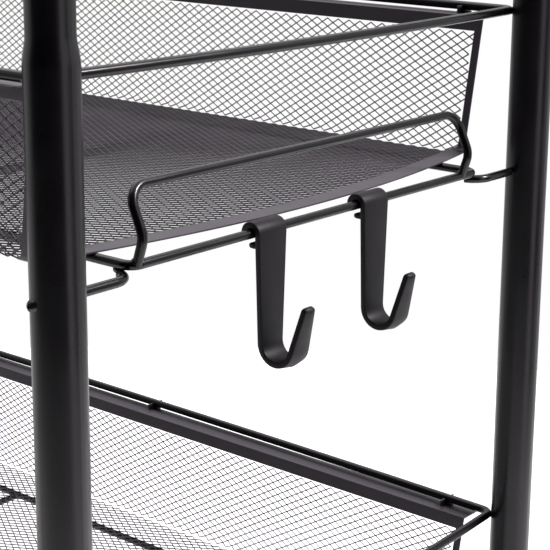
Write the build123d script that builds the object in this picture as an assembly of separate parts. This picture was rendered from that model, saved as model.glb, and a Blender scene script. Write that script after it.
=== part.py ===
"""Rolling pantry cart: tube-and-wire frame, three mesh trays, guard hoops, two clip-on hooks, four casters.

Millimetres. +Z is up and Z = 0 is the floor. The origin lies midway between the four posts.
Right and left are +X and -X (the cart's two ends), front and back are -Y and +Y (its two long sides).
"""

import math
import os

from build123d import *

# ---------------------------------------------------------------- driving dimensions
POST_SPACING_LONG = 650.0  # post centre to post centre along the cart
POST_SPACING_WIDE = 388.0  # post centre to post centre across the cart
SHELF_PITCH = 329.0  # from one shelf's rim to the next
RIM_HEIGHT = 196.0  # floor to the bottom shelf's rim wire
TRAY_DEPTH = 89.0  # rim wire's centre down to the tray's floor
HANDLE_RISE = 100.0  # top rim wire's centre up to the handle bar's centre
POST_DIAMETER = 25.4
HANDLE_DIAMETER = 22.2
RIM_WIRE = 5.4
FRAME_WIRE = 5.0
WHEEL_DIAMETER = 50.0
HOOK_DROP = 58.0  # rail centre down to the start of the hook's bend

# ---------------------------------------------------------------- shelf details
SHELVES = ("bottom", "middle", "top")
RIM_CORNER_RADIUS = 7.0
RIM_SIDE_INSET = 4.0  # long rail's centre inside the posts' centre line
RIM_END_INSET = 12.6  # end rail's centre inside the posts' centre line
RIM_END_BOW = 7.0  # how far the end rail bows out at mid-width
RIM_SIDE_BOW = 3.5
LOOP_SIDE_INSET = 50.3  # lower wire loop's side, inside the posts' centre line
HOOK_RAIL_INSET = 4.8  # hook rail's centre inside the end posts' centre line
LOOP_CORNER_RADIUS = 6.0
CROSS_WIRE_PLACE = 1 / 3  # of half the post spacing, each side of the middle
GUARD_SIDE_INSET = 9.0  # hoop leg inside the lower loop's side, before the hoop's offset
GUARD_OFFSET = 5.5  # both hoops are set this much towards the front
GUARD_HEIGHT = 36.8  # top bar above the hook rail
GUARD_BULGE = (4.8, 14.0)  # out from the rail, up from the rail
GUARD_LEAN = 5.7  # top bar inward of the rail
GUARD_BEND = 11.0
SHEET = 0.8  # mesh tray's thickness
TRAY_WALL_INSET = 14.5  # wall's outer face inside the posts' centre line
FLANGE_EDGE = 0.6  # flange's outer edge beyond the posts' centre line
FLANGE_DROP = 4.4  # rim wire's centre down to the flange
FOLD_RADIUS = 3.0
WALL_END_TOP = 26.0  # wall's end inside the posts' centre line, at the flange
WALL_END_BOTTOM = 36.0  # the same at the fold
FLOOR_END = 14.5  # floor's end at mid-width
TAB_WIDTH = 9.0
TAB_INSET = 48.0
BRACKET_INSET = 3.0  # bracket rod's centre inside the end posts' centre line
BRACKET_BEND = 12.0
BRACKET_TURN = 75.0  # degrees

# ---------------------------------------------------------------- tube and fastener details
TUBE_WALL = 1.5
SWAGE_START = 8.0  # above the top rim
SWAGE_LENGTH = 13.0
NECK_LENGTH = 20.0
SPIGOT_LENGTH = 19.0
HANDLE_STRAIGHT = 9.0  # straight tube between the neck and the bend
SLIP = 0.05  # clearance on the radius where one piece slips into another
TOUCH = 0.02  # clearance where two pieces are held tight
SCREW_RADIUS = 1.5
SCREW_HEAD_RADIUS = 3.3
SCREW_HEAD_HEIGHT = 2.4
SCREW_GRIP = 9.0  # thread length in the rod's end
HANDLE_SCREW_LENGTH = 6.0
RELIEF = 1.0  # spare depth past a screw, a stem or a rivet head

# ---------------------------------------------------------------- caster details
WHEEL_WIDTH = 20.0
TYRE_DEPTH = 4.0
TRAIL = 18.0
AXLE_RADIUS = 4.0
AXLE_HEAD = (6.0, 1.6)  # radius, thickness
CHEEK_THICK = 3.0
CHEEK_GAP = 1.2  # between wheel hub and cheek
CORE_RIM = 3.5  # thickness of the wheel body under the tyre
WHEEL_CLEARANCE = 3.5  # tyre to the underside of the crown
CROWN_THICK = 8.0
CROWN_RADIUS = 15.0
CROWN_EDGE = 2.5
AXLE_BOSS_RADIUS = 8.5
STEM_RADIUS = 5.0
STEM_TOP_RADIUS = 5.5
STEM_LENGTH = 27.0
COLLAR = (8.0, 2.0)  # radius, thickness
RIVET_HEAD = (7.0, 2.2)
SWIVEL_GAP = 0.3
SOCKET_FLANGE = 3.0
SOCKET_LENGTH = 30.0
LEVER_PIVOT_OUT = 9.0  # beyond the axle
LEVER_PIVOT_RISE = 2.0  # above the tyre
LEVER_REACH = 14.5
LEVER_THICK = 3.0
LEVER_BAY = 24.0  # length of the crown's cut-out for the lever
TRUNNION_RADIUS = 2.0
LEVER_BOSS_RADIUS = 2.7
LEVER_LOBE = (1.2, 2.0)  # radius, distance from the pivot

# ---------------------------------------------------------------- hook details
HOOK_THICK = 3.4
HOOK_CLEARANCE = 0.35  # around the rail
HOOK_TOP_WIDTH = 22.0
HOOK_LOW_WIDTH = 16.0
HOOK_TIP_WIDTH = 7.0
HOOK_BEND = 9.5
HOOK_LEAN = 15.0  # degrees, prong from upright
HOOK_PRONG = 24.0
HOOK_CURL_END = 205.0  # degrees round the rail from the strap's side
HOOK_NIB = (6.8, 3.0, 3.0)  # drop below the rail, thickness, reach behind the rail
HOOK_PLACES = {"front": -49.0, "back": 38.0}

# ---------------------------------------------------------------- worked-out sizes
HALF_LONG = POST_SPACING_LONG / 2
HALF_WIDE = POST_SPACING_WIDE / 2
POST_RADIUS = POST_DIAMETER / 2
RIM_RADIUS = RIM_WIRE / 2
WIRE_RADIUS = FRAME_WIRE / 2
WHEEL_RADIUS = WHEEL_DIAMETER / 2
LEVER_PIVOT = (LEVER_PIVOT_OUT, WHEEL_RADIUS + LEVER_PIVOT_RISE)  # from the axle, along and up
CORNERS = {
    "right_front": (1, -1),
    "right_back": (1, 1),
    "left_front": (-1, -1),
    "left_back": (-1, 1),
}
RIM_Z = {name: RIM_HEIGHT + i * SHELF_PITCH for i, name in enumerate(SHELVES)}
LOOP_DROP = TRAY_DEPTH + SHEET + WIRE_RADIUS  # rim wire's centre to lower loop's centre
BRACKET_DROP = LOOP_DROP + FRAME_WIRE
CROWN_Z = WHEEL_DIAMETER + WHEEL_CLEARANCE
COLLAR_Z = CROWN_Z + CROWN_THICK + SWIVEL_GAP
SOCKET_Z = COLLAR_Z + COLLAR[1]
POST_FOOT = SOCKET_Z + SOCKET_FLANGE
NECK_Z = RIM_Z["top"] + SWAGE_START + SWAGE_LENGTH
NECK_TOP = NECK_Z + NECK_LENGTH
HANDLE_Z = RIM_Z["top"] + HANDLE_RISE
HANDLE_BEND = HANDLE_Z - NECK_TOP - HANDLE_STRAIGHT


# ---------------------------------------------------------------- shared shapes
def write(node, shape):
    """Write one named node."""
    shape.label = node
    export_step(shape, f"parts/{node}.step")


def along_z(x, y, low, high, radius):
    """Upright cylinder from one height to another."""
    return Pos(x, y, (low + high) / 2) * Cylinder(radius, high - low)


def along_y(x, z, low, high, radius):
    """Cylinder lying across the cart."""
    return Pos(x, (low + high) / 2, z) * Rot(90, 0, 0) * Cylinder(radius, high - low)


def along_x(y, z, low, high, radius):
    """Cylinder lying along the cart."""
    return Pos((low + high) / 2, y, z) * Rot(0, 90, 0) * Cylinder(radius, high - low)


def bent_path(points, radii):
    """Straight runs through the points, joined by a tangent arc at each inner point."""
    points = [Vector(*p) for p in points]
    edges = []
    start = points[0]
    for before, here, after, radius in zip(points, points[1:], points[2:], radii):
        back = (before - here).normalized()
        ahead = (after - here).normalized()
        half_turn = math.radians(180 - back.get_angle(ahead)) / 2
        reach = radius * math.tan(half_turn)
        middle = (back + ahead).normalized() * (radius / math.cos(half_turn) - radius)
        edges.append(Line(start, here + back * reach))
        edges.append(ThreePointArc(here + back * reach, here + middle, here + ahead * reach))
        start = here + ahead * reach
    edges.append(Line(start, points[-1]))
    return Wire(edges)


def rod(path, radius):
    """Round bar swept along a path."""
    section = Plane(origin=path @ 0, z_dir=path % 0) * Circle(radius)
    return sweep(section, path=path)


def mirrored(shape, side_x, side_y):
    """Turn a piece made for the right front corner into the piece of another corner."""
    if side_x < 0:
        shape = mirror(shape, about=Plane.YZ)
    if side_y > 0:
        shape = mirror(shape, about=Plane.XZ)
    return shape


# ---------------------------------------------------------------- posts and handles
def post_core(x, y):
    """The space that a post fills, used to cope what is welded to it."""
    return along_z(x, y, POST_FOOT, NECK_TOP, POST_RADIUS + TOUCH)


def post(side_x, side_y):
    """Steel tube with its top end swaged down to the handle's diameter."""
    swage_z = RIM_Z["top"] + SWAGE_START
    neck_radius = HANDLE_DIAMETER / 2

    def half_section(shrink):
        ease = SWAGE_LENGTH / 2
        wide, narrow = POST_RADIUS - shrink, neck_radius - shrink
        flank = Spline((wide, swage_z), (narrow, NECK_Z), tangents=((0, ease), (0, ease)))
        outline = [
            Line((0, POST_FOOT), (wide, POST_FOOT)),
            Line((wide, POST_FOOT), (wide, swage_z)),
            flank,
            Line((narrow, NECK_Z), (narrow, NECK_TOP)),
            Line((narrow, NECK_TOP), (0, NECK_TOP)),
            Line((0, NECK_TOP), (0, POST_FOOT)),
        ]
        return revolve(Plane.XZ * make_face(outline), Axis.Z)

    tube = half_section(0) - half_section(TUBE_WALL)
    tube = Pos(side_x * HALF_LONG, side_y * HALF_WIDE, 0) * tube
    screw_x = side_x * (HALF_LONG - BRACKET_INSET)
    low, high = side_y * HALF_WIDE - POST_DIAMETER, side_y * HALF_WIDE + POST_DIAMETER
    for rim_z in RIM_Z.values():
        tube -= along_y(screw_x, rim_z - BRACKET_DROP, low, high, SCREW_RADIUS + SLIP)
    return tube - handle_screw_hole(side_x, side_y)


def handle_screw_z():
    """Handle screws sit half-way up the neck."""
    return NECK_Z + NECK_LENGTH / 2


def handle_screw_hole(side_x, side_y):
    """Hole through the neck's inner side and the spigot's wall."""
    inner = side_x * (HALF_LONG - POST_DIAMETER)
    low, high = sorted((inner, side_x * HALF_LONG))
    return along_x(side_y * HALF_WIDE, handle_screw_z(), low, high, SCREW_RADIUS + SLIP)


def handle_hoop(side_x):
    """Bent tube over one end, with a reduced spigot in each post's neck."""
    x = side_x * HALF_LONG
    corners = [
        (x, -HALF_WIDE, NECK_TOP),
        (x, -HALF_WIDE, HANDLE_Z),
        (x, HALF_WIDE, HANDLE_Z),
        (x, HALF_WIDE, NECK_TOP),
    ]
    path = bent_path(corners, [HANDLE_BEND] * 2)
    outer = HANDLE_DIAMETER / 2
    inner = outer - TUBE_WALL
    hoop = rod(path, outer) - rod(path, inner)
    for side_y in (-1, 1):
        y = side_y * HALF_WIDE
        spigot = along_z(x, y, NECK_TOP - SPIGOT_LENGTH, NECK_TOP, inner - SLIP)
        root = along_z(x, y, NECK_TOP, NECK_TOP + 2 * TUBE_WALL, inner + TUBE_WALL / 2)
        bore = along_z(x, y, NECK_TOP - SPIGOT_LENGTH, NECK_TOP + 2 * TUBE_WALL, inner - SLIP - TUBE_WALL)
        hoop = hoop + spigot + root - bore - handle_screw_hole(side_x, side_y)
    return hoop


def screw_head():
    """Domed head on the Z axis, top up, with its seat at Z = 0 and a little over to cope to a tube."""
    ball = (SCREW_HEAD_RADIUS**2 + SCREW_HEAD_HEIGHT**2) / (2 * SCREW_HEAD_HEIGHT)
    dome = Pos(0, 0, SCREW_HEAD_HEIGHT - ball) * Sphere(ball)
    dome &= along_z(0, 0, 0, 2 * ball, SCREW_HEAD_RADIUS)
    return dome + along_z(0, 0, -SCREW_HEAD_RADIUS / 3, 0, SCREW_HEAD_RADIUS)


def handle_screws():
    """One self-tapping screw at each neck, driven from the cart's inner side."""
    screws = []
    z = handle_screw_z()
    for side_x, side_y in CORNERS.values():
        x, y = side_x * HALF_LONG, side_y * HALF_WIDE
        seat = x - side_x * HANDLE_DIAMETER / 2
        neck = along_z(x, y, NECK_Z, NECK_TOP, HANDLE_DIAMETER / 2 + TOUCH)
        head = Pos(seat, y, z) * Rot(0, -90 * side_x, 0) * screw_head() - neck
        low, high = sorted((seat - side_x, seat + side_x * HANDLE_SCREW_LENGTH))
        screws.append(head + along_x(y, z, low, high, SCREW_RADIUS))
    return screws


# ---------------------------------------------------------------- shelf wires
def rim_path(rim_z):
    """Closed loop of the rim wire, bowed out a little on all four sides."""
    x, y = HALF_LONG - RIM_END_INSET, HALF_WIDE - RIM_SIDE_INSET
    x_mid, y_mid = x + RIM_END_BOW, y + RIM_SIDE_BOW
    outline = make_face(
        [
            ThreePointArc((x, -y), (x_mid, 0), (x, y)),
            ThreePointArc((x, y), (0, y_mid), (-x, y)),
            ThreePointArc((-x, y), (-x_mid, 0), (-x, -y)),
            ThreePointArc((-x, -y), (0, -y_mid), (x, -y)),
        ]
    )
    rounded = fillet(outline.vertices(), RIM_CORNER_RADIUS)
    return Pos(0, 0, rim_z) * rounded.face().outer_wire()


def rim_wire(rim_z):
    """Rim wire, coped where its corners are welded to the posts."""
    wire = rod(rim_path(rim_z), RIM_RADIUS)
    for side_x, side_y in CORNERS.values():
        wire -= post_core(side_x * HALF_LONG, side_y * HALF_WIDE)
    return wire


def rim_side_at(x):
    """Distance of the rim's long rail from the centre line, at a place along the cart."""
    half = HALF_LONG - RIM_END_INSET
    bow_radius = (half**2 + RIM_SIDE_BOW**2) / (2 * RIM_SIDE_BOW)
    sag = bow_radius - math.sqrt(bow_radius**2 - x**2)
    return HALF_WIDE - RIM_SIDE_INSET + RIM_SIDE_BOW - sag


def lower_loop(rim_z, radius=WIRE_RADIUS):
    """Rectangular loop under the tray; its two end rails carry the hooks."""
    x, y = HALF_LONG - HOOK_RAIL_INSET, HALF_WIDE - LOOP_SIDE_INSET
    outline = RectangleRounded(2 * x, 2 * y, LOOP_CORNER_RADIUS)
    return rod(Pos(0, 0, rim_z - LOOP_DROP) * outline.face().outer_wire(), radius)


def cross_wires(rim_z):
    """Two wires across the loop that stop the tray's floor from sagging."""
    half = HALF_WIDE - LOOP_SIDE_INSET
    z = rim_z - LOOP_DROP
    rails = [along_x(side * half, z, -HALF_LONG, HALF_LONG, WIRE_RADIUS + TOUCH) for side in (-1, 1)]
    wires = []
    for side in (-1, 1):
        wire = along_y(side * HALF_LONG * CROSS_WIRE_PLACE, z, -half, half, WIRE_RADIUS)
        wires.append(wire - rails[0] - rails[1])
    return wires


def guard_hoop(rim_z, side_x):
    """Hoop standing on the hook rail, bulging out low down and leaning in above."""
    rail_x, rail_z = HALF_LONG - HOOK_RAIL_INSET, rim_z - LOOP_DROP
    reach = HALF_WIDE - LOOP_SIDE_INSET - GUARD_SIDE_INSET
    front_y, back_y = -reach - GUARD_OFFSET, reach - GUARD_OFFSET
    bulge_x, bulge_z = rail_x + GUARD_BULGE[0], rail_z + GUARD_BULGE[1]
    top_x, top_z = rail_x - GUARD_LEAN, rail_z + GUARD_HEIGHT
    points = [
        (rail_x, front_y, rail_z),
        (bulge_x, front_y, bulge_z),
        (top_x, front_y, top_z),
        (top_x, back_y, top_z),
        (bulge_x, back_y, bulge_z),
        (rail_x, back_y, rail_z),
    ]
    hoop = rod(bent_path(points, [GUARD_BEND] * 4), WIRE_RADIUS)
    hoop -= lower_loop(rim_z, WIRE_RADIUS + TOUCH)
    return mirrored(hoop.solids().sort_by(SortBy.VOLUME)[-1], side_x, -1)


def bracket_rod(rim_z, side_x, side_y):
    """Short rod from a post, bent in to lie under the lower loop's corner."""
    x, z = HALF_LONG - BRACKET_INSET, rim_z - BRACKET_DROP
    reach = LOOP_SIDE_INSET - BRACKET_BEND
    turn = math.radians(BRACKET_TURN)
    centre_x, start_y = x - BRACKET_BEND, -HALF_WIDE + reach
    half = turn / 2
    middle = (centre_x + BRACKET_BEND * math.cos(half), start_y + BRACKET_BEND * math.sin(half), z)
    end = (centre_x + BRACKET_BEND * math.cos(turn), start_y + BRACKET_BEND * math.sin(turn), z)
    path = Wire([Line((x, -HALF_WIDE, z), (x, start_y, z)), ThreePointArc((x, start_y, z), middle, end)])
    bar = rod(path, WIRE_RADIUS) - post_core(HALF_LONG, -HALF_WIDE)
    thread_end = -HALF_WIDE + POST_RADIUS + SCREW_GRIP
    bar -= along_y(x, z, -HALF_WIDE, thread_end + RELIEF, SCREW_RADIUS + SLIP)
    return mirrored(bar, side_x, side_y)


def bracket_screw(rim_z, side_x, side_y):
    """Screw through a post from outside into the bracket rod's tapped end."""
    x, z = HALF_LONG - BRACKET_INSET, rim_z - BRACKET_DROP
    seat = -HALF_WIDE - math.sqrt(POST_RADIUS**2 - BRACKET_INSET**2)
    thread_end = -HALF_WIDE + POST_RADIUS + SCREW_GRIP
    head = Pos(x, seat, z) * Rot(90, 0, 0) * screw_head() - post_core(HALF_LONG, -HALF_WIDE)
    shank = along_y(x, z, seat - SCREW_RADIUS, thread_end, SCREW_RADIUS)
    return mirrored(head + shank, side_x, side_y)


# ---------------------------------------------------------------- mesh tray
def tray_section():
    """Folded sheet's section: flange, wall, floor, wall, flange. Z = 0 is the rim wire's centre."""
    face_y = HALF_WIDE - TRAY_WALL_INSET
    edge_y = HALF_WIDE + FLANGE_EDGE
    top, under = -FLANGE_DROP, -FLANGE_DROP - SHEET
    floor, base = -TRAY_DEPTH, -TRAY_DEPTH - SHEET
    half = [
        (0, floor),
        (face_y - SHEET, floor),
        (face_y - SHEET, top),
        (edge_y, top),
        (edge_y, under),
        (face_y, under),
        (face_y, base),
        (0, base),
    ]
    left = make_face(Polyline(*half, close=True))
    fold_inner = left.vertices().sort_by_distance((face_y - SHEET, floor, 0))[0]
    left = fillet(fold_inner, FOLD_RADIUS)
    fold_outer = left.vertices().sort_by_distance((face_y, base, 0))[0]
    left = fillet(fold_outer, FOLD_RADIUS + SHEET)
    return left + mirror(left, about=Plane.YZ)


def mesh_tray(rim_z, rim):
    """Sheet of expanded mesh folded into a trough open at both ends, tied to the rim by pressed-up tabs."""
    length = POST_SPACING_LONG
    trough = extrude(Plane.YZ * tray_section(), length / 2, both=True)

    split_z = FOLD_RADIUS - TRAY_DEPTH
    low_x, high_x = HALF_LONG - WALL_END_BOTTOM, HALF_LONG - WALL_END_TOP
    side = Polyline(
        (-low_x, split_z),
        (low_x, split_z),
        (high_x, -FLANGE_DROP),
        (high_x, 0),
        (-high_x, 0),
        (-high_x, -FLANGE_DROP),
        close=True,
    )
    walls = trough & extrude(Plane.XZ * make_face(side), POST_SPACING_WIDE, both=True)

    wall_y, end_x = HALF_WIDE - TRAY_WALL_INSET, HALF_LONG - FLOOR_END
    plan = make_face(
        [
            ThreePointArc((low_x, -wall_y), (end_x, 0), (low_x, wall_y)),
            Line((low_x, wall_y), (-low_x, wall_y)),
            ThreePointArc((-low_x, wall_y), (-end_x, 0), (-low_x, -wall_y)),
            Line((-low_x, -wall_y), (low_x, -wall_y)),
        ]
    )
    under_split = Pos(0, 0, -TRAY_DEPTH - SHEET) * extrude(plan, FOLD_RADIUS + SHEET)
    tray = walls + (trough & under_split)

    for side_y in (-1, 1):
        for x in (-HALF_LONG + TAB_INSET, 0, HALF_LONG - TAB_INSET):
            tab = Box(TAB_WIDTH, RIM_WIRE, FLANGE_DROP, align=(Align.CENTER, Align.CENTER, Align.MIN))
            tray += Pos(x, side_y * rim_side_at(x), -FLANGE_DROP) * tab
    return Pos(0, 0, rim_z) * tray - rim


# ---------------------------------------------------------------- casters
def caster_place(side_x, side_y, shape):
    """Move a caster piece made round the Z axis, trailing to +X, to its post."""
    return Pos(side_x * HALF_LONG, side_y * HALF_WIDE, 0) * mirrored(shape, side_x, -1)


def caster_socket():
    """Moulded plug in the post's foot that grips the stem."""
    lowest_screw = RIM_HEIGHT - BRACKET_DROP - SCREW_RADIUS
    sleeve_top = min(SOCKET_Z + SOCKET_LENGTH, lowest_screw - RELIEF)
    sleeve = along_z(0, 0, SOCKET_Z, sleeve_top, POST_RADIUS - TUBE_WALL - TOUCH)
    flange = along_z(0, 0, SOCKET_Z, POST_FOOT, POST_RADIUS)
    bore = along_z(0, 0, SOCKET_Z, SOCKET_Z + STEM_LENGTH + RELIEF, STEM_TOP_RADIUS + SLIP)
    return sleeve + flange - bore


def caster_stem():
    """Turned stem: riveted head under the crown, collar over it, plain shank in the socket."""
    head_top = CROWN_Z + RIVET_HEAD[1] + SWIVEL_GAP
    stem = along_z(0, 0, CROWN_Z + SWIVEL_GAP, head_top, RIVET_HEAD[0])
    stem += along_z(0, 0, head_top, COLLAR_Z, STEM_RADIUS)
    stem += along_z(0, 0, COLLAR_Z, SOCKET_Z, COLLAR[0])
    return stem + along_z(0, 0, SOCKET_Z, SOCKET_Z + STEM_LENGTH, STEM_TOP_RADIUS)


def caster_fork(braked):
    """Moulded fork: a crown round the stem and two cheeks down to the axle."""
    crown_top = CROWN_Z + CROWN_THICK
    pivot_x, pivot_z = TRAIL + LEVER_PIVOT[0], WHEEL_RADIUS + LEVER_PIVOT[1]
    crown = Pos(0, CROWN_Z + CROWN_THICK / 2) * RectangleRounded(2 * CROWN_RADIUS, CROWN_THICK, CROWN_EDGE)
    axle_boss = Pos(TRAIL, WHEEL_RADIUS) * Circle(AXLE_BOSS_RADIUS)
    pivot_boss = Pos(pivot_x, pivot_z) * Circle(2 * TRUNNION_RADIUS)
    outline = make_hull((crown + axle_boss + pivot_boss).edges())
    half_gap = WHEEL_WIDTH / 2 + CHEEK_GAP
    fork = extrude(Plane.XZ * outline, half_gap + CHEEK_THICK, both=True)
    slot = Box(6 * WHEEL_RADIUS, 2 * half_gap, CROWN_Z, align=(Align.CENTER, Align.CENTER, Align.MIN))
    lever_bay = Pos(pivot_x, 0, CROWN_Z) * Box(LEVER_BAY, 2 * half_gap, 2 * CROWN_THICK)
    fork = fork - slot - lever_bay
    recess = RIVET_HEAD[1] + 2 * SWIVEL_GAP
    fork -= along_z(0, 0, CROWN_Z, CROWN_Z + recess, RIVET_HEAD[0] + RELIEF)
    fork -= along_z(0, 0, CROWN_Z, crown_top, STEM_RADIUS + SLIP)
    reach = 2 * WHEEL_WIDTH
    fork -= along_y(TRAIL, WHEEL_RADIUS, -reach, reach, AXLE_RADIUS + TOUCH)
    if braked:
        fork -= along_y(pivot_x, pivot_z, -reach, reach, TRUNNION_RADIUS + SLIP)
    return fork


def caster_axle():
    """Steel rivet through both cheeks."""
    outside = WHEEL_WIDTH / 2 + CHEEK_GAP + CHEEK_THICK
    axle = along_y(TRAIL, WHEEL_RADIUS, -outside, outside, AXLE_RADIUS)
    axle += along_y(TRAIL, WHEEL_RADIUS, outside, outside + AXLE_HEAD[1], AXLE_HEAD[0])
    return axle + along_y(TRAIL, WHEEL_RADIUS, -outside - AXLE_HEAD[1], -outside, AXLE_HEAD[0])


def wheel_core():
    """Moulded wheel body: rim, web and hub, with a plain bore on the axle."""
    rim_radius = WHEEL_RADIUS - TYRE_DEPTH
    half = WHEEL_WIDTH / 2
    rim_inner = rim_radius - CORE_RIM
    hub_half = half + CHEEK_GAP / 2

    def disc(half_width, radius):
        return along_y(TRAIL, WHEEL_RADIUS, -half_width, half_width, radius)

    core = disc(half - RELIEF, rim_radius) - disc(half, rim_inner)
    core += disc(half / 3, rim_inner + CORE_RIM / 2)
    core += disc(hub_half, 2 * AXLE_RADIUS)
    return core - disc(half * 2, AXLE_RADIUS + SLIP)


def tyre():
    """Rubber tread ring with rounded shoulders."""
    half = WHEEL_WIDTH / 2
    ring = along_y(TRAIL, WHEEL_RADIUS, -half, half, WHEEL_RADIUS)
    ring = fillet(ring.edges().filter_by(GeomType.CIRCLE), TYRE_DEPTH / 2)
    return ring - along_y(TRAIL, WHEEL_RADIUS, -half, half, WHEEL_RADIUS - TYRE_DEPTH + TOUCH)


def brake_lever():
    """Pedal with trunnions in the cheeks and a lobe that presses on the tyre."""
    x, z = TRAIL + LEVER_PIVOT[0], WHEEL_RADIUS + LEVER_PIVOT[1]
    half = WHEEL_WIDTH / 2 + CHEEK_GAP / 2
    pin_half = half + CHEEK_GAP / 2 + CHEEK_THICK
    lever = along_y(x, z, -pin_half, pin_half, TRUNNION_RADIUS)
    lever += along_y(x, z, -half, half, LEVER_BOSS_RADIUS)
    reach = math.hypot(*LEVER_PIVOT)
    lobe_x = x - LEVER_LOBE[1] * LEVER_PIVOT[0] / reach
    lobe_z = z - LEVER_LOBE[1] * LEVER_PIVOT[1] / reach
    lever += along_y(lobe_x, lobe_z, -half, half, LEVER_LOBE[0])
    pedal = Box(LEVER_REACH, 2 * half, LEVER_THICK, align=(Align.MIN, Align.CENTER, Align.CENTER))
    pedal = fillet(pedal.edges().filter_by(Axis.Y).sort_by(Axis.X)[-2:], LEVER_THICK / 3)
    return lever + Pos(x, 0, z + LEVER_BOSS_RADIUS - LEVER_THICK / 2) * pedal


# ---------------------------------------------------------------- hooks
def hook_profile():
    """Side view of a hook round the rail at the origin: curl, strap, bend, prong and nib."""
    inner = WIRE_RADIUS + HOOK_CLEARANCE
    mean, half = inner + HOOK_THICK / 2, HOOK_THICK / 2
    centre = (mean + HOOK_BEND, -HOOK_DROP)
    lean = math.radians(HOOK_LEAN)
    bend_end = (centre[0] + HOOK_BEND * math.cos(lean), centre[1] - HOOK_BEND * math.sin(lean))
    tip = (bend_end[0] + HOOK_PRONG * math.sin(lean), bend_end[1] + HOOK_PRONG * math.cos(lean))

    curl = Circle(mean + half) - Circle(mean - half)
    far = 4 * mean
    curl_end = math.radians(HOOK_CURL_END)
    gap = Polyline(
        (0, 0),
        (far * math.cos(curl_end), far * math.sin(curl_end)),
        (0, -2 * far),
        (far, -far),
        (far, 0),
        close=True,
    )
    curl -= make_face(gap)
    strap = Pos(mean, -HOOK_DROP / 2) * Rectangle(HOOK_THICK, HOOK_DROP)
    ring = Pos(*centre) * (Circle(HOOK_BEND + half) - Circle(HOOK_BEND - half))
    wide = 3 * HOOK_BEND
    below = Polyline(
        centre,
        (centre[0] + wide * math.cos(lean), centre[1] - wide * math.sin(lean)),
        (centre[0] + wide, centre[1] - wide),
        (centre[0] - wide, centre[1] - wide),
        (centre[0] - wide, centre[1]),
        close=True,
    )
    bend = ring & make_face(below)
    middle = ((bend_end[0] + tip[0]) / 2, (bend_end[1] + tip[1]) / 2)
    prong = Pos(*middle) * Rot(0, 0, -HOOK_LEAN) * Rectangle(HOOK_THICK, HOOK_PRONG)
    round_tip = Pos(*tip) * Circle(half)
    drop, thick, behind = HOOK_NIB
    nib = Pos((inner - behind) / 2, -drop) * Rectangle(inner + behind, thick)
    nib += Pos(-behind, -drop) * Circle(thick / 2)
    return curl + strap + bend + prong + round_tip + nib, centre


def hook(y):
    """Moulded hook, tapering down the strap and again up the prong."""
    profile, centre = hook_profile()
    solid = extrude(Plane.XZ * profile, HOOK_TOP_WIDTH / 2, both=True)
    top, low = 2 * (WIRE_RADIUS + HOOK_THICK), -HOOK_DROP - HOOK_BEND - HOOK_THICK
    prong_top = -HOOK_DROP + HOOK_PRONG + HOOK_THICK
    reach = HOOK_DROP

    def taper(z_high, width_high, z_low, width_low, x_from, x_to):
        outline = Polyline(
            (-width_high / 2, z_high),
            (width_high / 2, z_high),
            (width_low / 2, z_low),
            (-width_low / 2, z_low),
            close=True,
        )
        return Pos(x_from, 0, 0) * extrude(Plane.YZ * make_face(outline), x_to - x_from)

    strap = solid & taper(top, HOOK_TOP_WIDTH, low, HOOK_LOW_WIDTH, -reach, centre[0])
    prong = solid & taper(prong_top, HOOK_TIP_WIDTH, low, HOOK_LOW_WIDTH, centre[0], reach)
    rail = (HALF_LONG - HOOK_RAIL_INSET, y, RIM_Z["top"] - LOOP_DROP)
    return Pos(*rail) * (strap + prong)


# ---------------------------------------------------------------- write every node
def main():
    os.makedirs("parts", exist_ok=True)

    for corner, (side_x, side_y) in CORNERS.items():
        write(f"post_{corner}", post(side_x, side_y))
        write(f"caster_socket_{corner}", caster_place(side_x, side_y, caster_socket()))
        write(f"caster_stem_{corner}", caster_place(side_x, side_y, caster_stem()))
        braked = side_x > 0
        write(f"caster_fork_{corner}", caster_place(side_x, side_y, caster_fork(braked)))
        write(f"caster_axle_{corner}", caster_place(side_x, side_y, caster_axle()))
        write(f"wheel_core_{corner}", caster_place(side_x, side_y, wheel_core()))
        write(f"tyre_{corner}", caster_place(side_x, side_y, tyre()))
        if braked:
            write(f"brake_lever_{corner}", caster_place(side_x, side_y, brake_lever()))

    write("handle_hoop_right", handle_hoop(1))
    write("handle_hoop_left", handle_hoop(-1))
    write("handle_screws", Compound(children=handle_screws()))

    bracket_screws = []
    for name, rim_z in RIM_Z.items():
        rim = rim_wire(rim_z)
        write(f"rim_wire_{name}", rim)
        write(f"lower_loop_{name}", lower_loop(rim_z))
        write(f"cross_wires_{name}", Compound(children=cross_wires(rim_z)))
        write(f"guard_hoop_{name}_right", guard_hoop(rim_z, 1))
        write(f"guard_hoop_{name}_left", guard_hoop(rim_z, -1))
        write(f"mesh_tray_{name}", mesh_tray(rim_z, rim))
        rods = [bracket_rod(rim_z, *sides) for sides in CORNERS.values()]
        write(f"bracket_rods_{name}", Compound(children=rods))
        bracket_screws += [bracket_screw(rim_z, *sides) for sides in CORNERS.values()]
    write("bracket_screws", Compound(children=bracket_screws))

    for name, y in HOOK_PLACES.items():
        write(f"hook_{name}", hook(y))


main()
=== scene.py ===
"""Rolling pantry cart: what the eye sees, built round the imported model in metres."""
import math

import bmesh
import bpy
from mathutils import Matrix, Vector


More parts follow.
